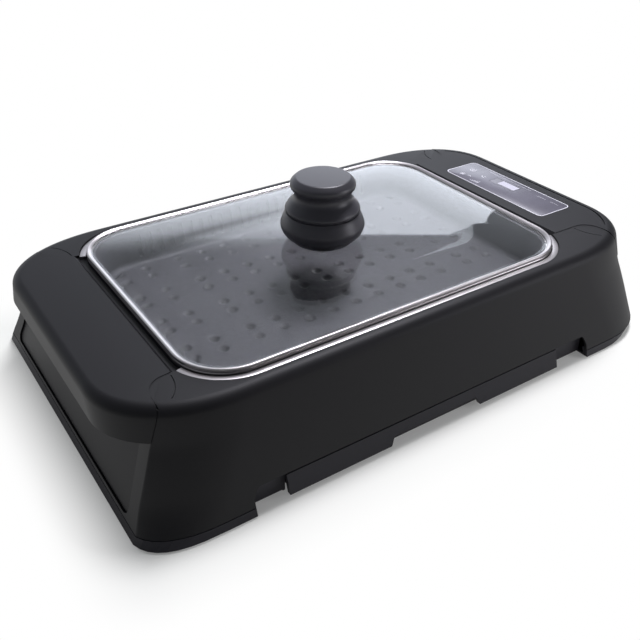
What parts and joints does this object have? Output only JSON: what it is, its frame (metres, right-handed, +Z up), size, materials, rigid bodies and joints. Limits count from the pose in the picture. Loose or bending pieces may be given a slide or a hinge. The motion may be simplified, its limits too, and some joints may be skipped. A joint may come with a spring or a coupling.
{
  "type": "electric grill",
  "caption": "Low countertop electric grill with a domed glass lid, knob, dimpled plate, drip tray and touch panel on one end.",
  "frame": {"origin": "on the table, under the middle of the body's bounding box", "axes": "+X along the grill towards the control panel, +Y towards the back, +Z up"},
  "size_m": [0.539, 0.3512, 0.1627],
  "materials": {
    "housing": "fine textured charcoal plastic",
    "pan": "black plastic",
    "steel": "satin stainless steel",
    "coating": "black nonstick coating on cast aluminium",
    "glass": "clear tempered glass",
    "knob": "black phenolic",
    "rubber": "matt silicone",
    "shield": "aluminised sheet steel",
    "element": "oxidised steel",
    "ceramic": "white steatite",
    "fan": "plain sheet",
    "board": "green lacquered glass fibre board",
    "part": "moulded component case",
    "overlay": "satin panel film",
    "window": "smoked display window",
    "brass": "plated"
  },
  "bodies": {
    "grill_body": {"base_pan": "pan", "upper_housing": "housing", "left_handle_cover": "housing", "right_handle_cover": "housing", "left_end_panel": "housing", "right_end_panel": "housing", "front_trim": "steel", "back_trim": "steel", "power_inlet": "pan", "inlet_pin_1": "brass", "inlet_pin_2": "brass", "inlet_pin_3": "brass", "rubber_foot_1": "rubber", "rubber_foot_2": "rubber", "rubber_foot_3": "rubber", "rubber_foot_4": "rubber", "base_screw_1": "steel", "base_screw_2": "steel", "base_screw_3": "steel", "base_screw_4": "steel", "heat_shield": "shield", "heating_element": "element", "element_clip_1": "shield", "element_clip_2": "shield", "element_clip_3": "shield", "terminal_sleeve_1": "ceramic", "terminal_sleeve_2": "ceramic", "terminal_bracket": "shield", "temperature_probe": "steel", "thermal_cutout": "part", "blower_scroll": "shield", "blower_tongue": "shield", "blower_cheek_left": "shield", "blower_cheek_right": "shield", "fan_bearing": "brass", "fan_motor": "part", "control_overlay": "overlay", "display_window": "window", "display_module": "window", "touch_board": "board", "power_board": "board", "power_relay": "part", "filter_capacitor": "part", "transformer": "element"},
    "fan": {"fan_impeller": "fan", "fan_shaft": "steel"},
    "tray": {"drip_tray": "pan"},
    "plate": {"grill_plate": "coating"},
    "lid": {"lid_rim": "steel", "lid_glass": "glass", "knob_bell": "knob", "knob_grip": "knob", "knob_seal": "rubber", "knob_washer": "steel", "knob_screw": "steel"}
  },
  "joints": [
    {"name": "plate_lift", "type": "slide", "parent": "grill_body", "child": "plate", "axis": [0, 0, 1], "range_m": [0, 0.12]},
    {"name": "lid_lift", "type": "slide", "parent": "plate", "child": "lid", "axis": [0, 0, 1], "range_m": [0, 0.15]},
    {"name": "tray_slide", "type": "slide", "parent": "grill_body", "child": "tray", "axis": [0, -1, 0], "range_m": [0, 0.28]},
    {"name": "fan_spin", "type": "hinge", "parent": "grill_body", "child": "fan", "pos_m": [-0.033, 0.13099, 0.03101], "axis": [1, 0, 0], "continuous": true}
  ]
}
